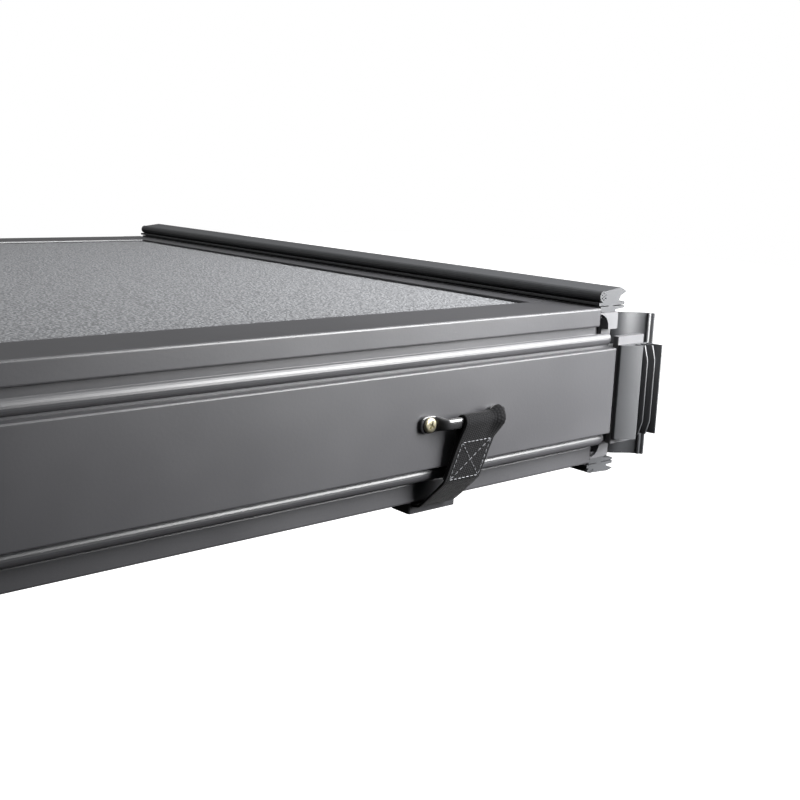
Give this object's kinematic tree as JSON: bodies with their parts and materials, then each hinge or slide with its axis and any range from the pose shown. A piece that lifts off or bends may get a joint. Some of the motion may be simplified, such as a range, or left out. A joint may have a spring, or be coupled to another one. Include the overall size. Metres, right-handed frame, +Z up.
{
  "type": "tonneau cover",
  "caption": "Folding hard tonneau cover, folded at the cab end: aluminium-framed panels on a hinge plate, with side seals, storage straps, front clamps and a tailgate latch.",
  "frame": {"origin": "middle of the underside of the front panel's cab end rail, where the cover sits on the bed's front rail", "axes": "+X to the truck's right across the bed, +Y towards the cab, +Z up"},
  "size_m": [1.641, 0.5948, 0.1592],
  "materials": {
    "frame_paint": "satin black powder coat on aluminium extrusion, fine orange peel",
    "skin_paint": "satin black powder coat on aluminium sheet",
    "textured_skin": "matt pebble-grain textured coating on aluminium sheet",
    "foam_core": "light structural core board",
    "seal_rubber": "extruded EPDM, semi-matt",
    "block_plastic": "moulded glass-filled nylon, fine grain",
    "strap_nylon": "black woven nylon webbing with grey stitching",
    "buckle_plastic": "moulded black acetal",
    "loop_steel": "black e-coated steel",
    "zinc_steel": "yellowish zinc-plated steel",
    "clamp_aluminium": "tumbled die-cast aluminium"
  },
  "bodies": {
    "front_panel": {"front_hinge_rail": "frame_paint", "front_cab_rail": "frame_paint", "front_side_rail_left": "frame_paint", "front_side_seal_left": "seal_rubber", "front_side_rail_right": "frame_paint", "front_side_seal_right": "seal_rubber", "front_top_skin": "skin_paint", "front_core": "foam_core", "front_bottom_skin": "textured_skin", "front_corner_block_left": "block_plastic", "front_corner_block_right": "block_plastic", "bulkhead_seal": "seal_rubber", "buckle_socket_left": "buckle_plastic", "buckle_socket_right": "buckle_plastic"},
    "hinge_plate": {"hinge_plate": "frame_paint", "plate_end_block_left": "block_plastic", "plate_end_seal_left": "seal_rubber", "corner_flap_left": "seal_rubber", "footman_loop_left": "loop_steel", "loop_screw_left_outer": "zinc_steel", "loop_screw_left_inner": "zinc_steel", "plate_end_block_right": "block_plastic", "plate_end_seal_right": "seal_rubber", "corner_flap_right": "seal_rubber", "footman_loop_right": "loop_steel", "loop_screw_right_outer": "zinc_steel", "loop_screw_right_inner": "zinc_steel"},
    "middle_panel": {"middle_hinge_rail": "frame_paint", "middle_rear_rail": "frame_paint", "middle_side_rail_left": "frame_paint", "middle_side_seal_left": "seal_rubber", "middle_side_rail_right": "frame_paint", "middle_side_seal_right": "seal_rubber", "middle_top_skin": "skin_paint", "middle_core": "foam_core", "middle_bottom_skin": "textured_skin", "rear_hinge_rail": "frame_paint", "rear_tailgate_rail": "frame_paint", "rear_side_rail_left": "frame_paint", "rear_side_seal_left": "seal_rubber", "rear_side_rail_right": "frame_paint", "rear_side_seal_right": "seal_rubber", "rear_top_skin": "skin_paint", "rear_core": "foam_core", "rear_bottom_skin": "textured_skin", "middle_corner_block_left": "block_plastic", "middle_corner_block_right": "block_plastic", "rear_hinge_link": "frame_paint", "tailgate_seal": "seal_rubber", "latch_housing": "clamp_aluminium"},
    "latch_bolt": {"latch_bolt": "zinc_steel"},
    "strap_left": {"strap_webbing_left": "strap_nylon"},
    "buckle_left": {"buckle_plug_left": "buckle_plastic"},
    "clamp_jaw_left": {"clamp_jaw_left": "clamp_aluminium"},
    "clamp_knob_left": {"clamp_knob_left": "buckle_plastic"},
    "strap_right": {"strap_webbing_right": "strap_nylon"},
    "buckle_right": {"buckle_plug_right": "buckle_plastic"},
    "clamp_jaw_right": {"clamp_jaw_right": "clamp_aluminium"},
    "clamp_knob_right": {"clamp_knob_right": "buckle_plastic"}
  },
  "joints": [
    {"name": "plate_hinge", "type": "hinge", "parent": "front_panel", "child": "hinge_plate", "pos_m": [0, -0.5455, 0.0171], "axis": [1, 0, 0], "range_deg": [0, 90]},
    {"name": "middle_hinge", "type": "hinge", "parent": "hinge_plate", "child": "middle_panel", "pos_m": [0, -0.5455, 0.0771], "axis": [1, 0, 0], "range_deg": [0, 90]},
    {"name": "latch_bolt_slide", "type": "slide", "parent": "middle_panel", "child": "latch_bolt", "axis": [0, 1, 0], "range_m": [0, 0.008], "stiffness_N_per_m": 600},
    {"name": "strap_left_swing", "type": "hinge", "parent": "hinge_plate", "child": "strap_left", "pos_m": [-0.6641, -0.5612, 0.0458], "axis": [1, 0, 0], "range_deg": [-90, 0]},
    {"name": "strap_left_tail", "type": "hinge", "parent": "strap_left", "child": "buckle_left", "pos_m": [-0.65887, -0.5398, -0.0024], "axis": [1, 0, 0], "range_deg": [-90, 0]},
    {"name": "clamp_left_lift", "type": "slide", "parent": "front_panel", "child": "clamp_jaw_left", "axis": [0, 0, 1], "range_m": [0, 0.012]},
    {"name": "clamp_left_turn", "type": "hinge", "parent": "clamp_jaw_left", "child": "clamp_knob_left", "pos_m": [-0.722, 0, -0.0384], "axis": [0, 0, 1], "range_deg": [0, 2881]},
    {"name": "strap_right_swing", "type": "hinge", "parent": "hinge_plate", "child": "strap_right", "pos_m": [0.6641, -0.5612, 0.0458], "axis": [1, 0, 0], "range_deg": [-90, 0]},
    {"name": "strap_right_tail", "type": "hinge", "parent": "strap_right", "child": "buckle_right", "pos_m": [0.65887, -0.5398, -0.0024], "axis": [1, 0, 0], "range_deg": [-90, 0]},
    {"name": "clamp_right_lift", "type": "slide", "parent": "front_panel", "child": "clamp_jaw_right", "axis": [0, 0, 1], "range_m": [0, 0.012]},
    {"name": "clamp_right_turn", "type": "hinge", "parent": "clamp_jaw_right", "child": "clamp_knob_right", "pos_m": [0.722, 0, -0.0384], "axis": [0, 0, 1], "range_deg": [0, 2881]}
  ],
  "couplings": [
    {"joint": "strap_left_swing", "follows": "plate_hinge", "ratio": -1},
    {"joint": "strap_left_tail", "follows": "plate_hinge", "ratio": -1},
    {"joint": "clamp_left_turn", "follows": "clamp_left_lift", "rad_per_m": 4188.8},
    {"joint": "strap_right_swing", "follows": "plate_hinge", "ratio": -1},
    {"joint": "strap_right_tail", "follows": "plate_hinge", "ratio": -1},
    {"joint": "clamp_right_turn", "follows": "clamp_right_lift", "rad_per_m": 4188.8}
  ]
}
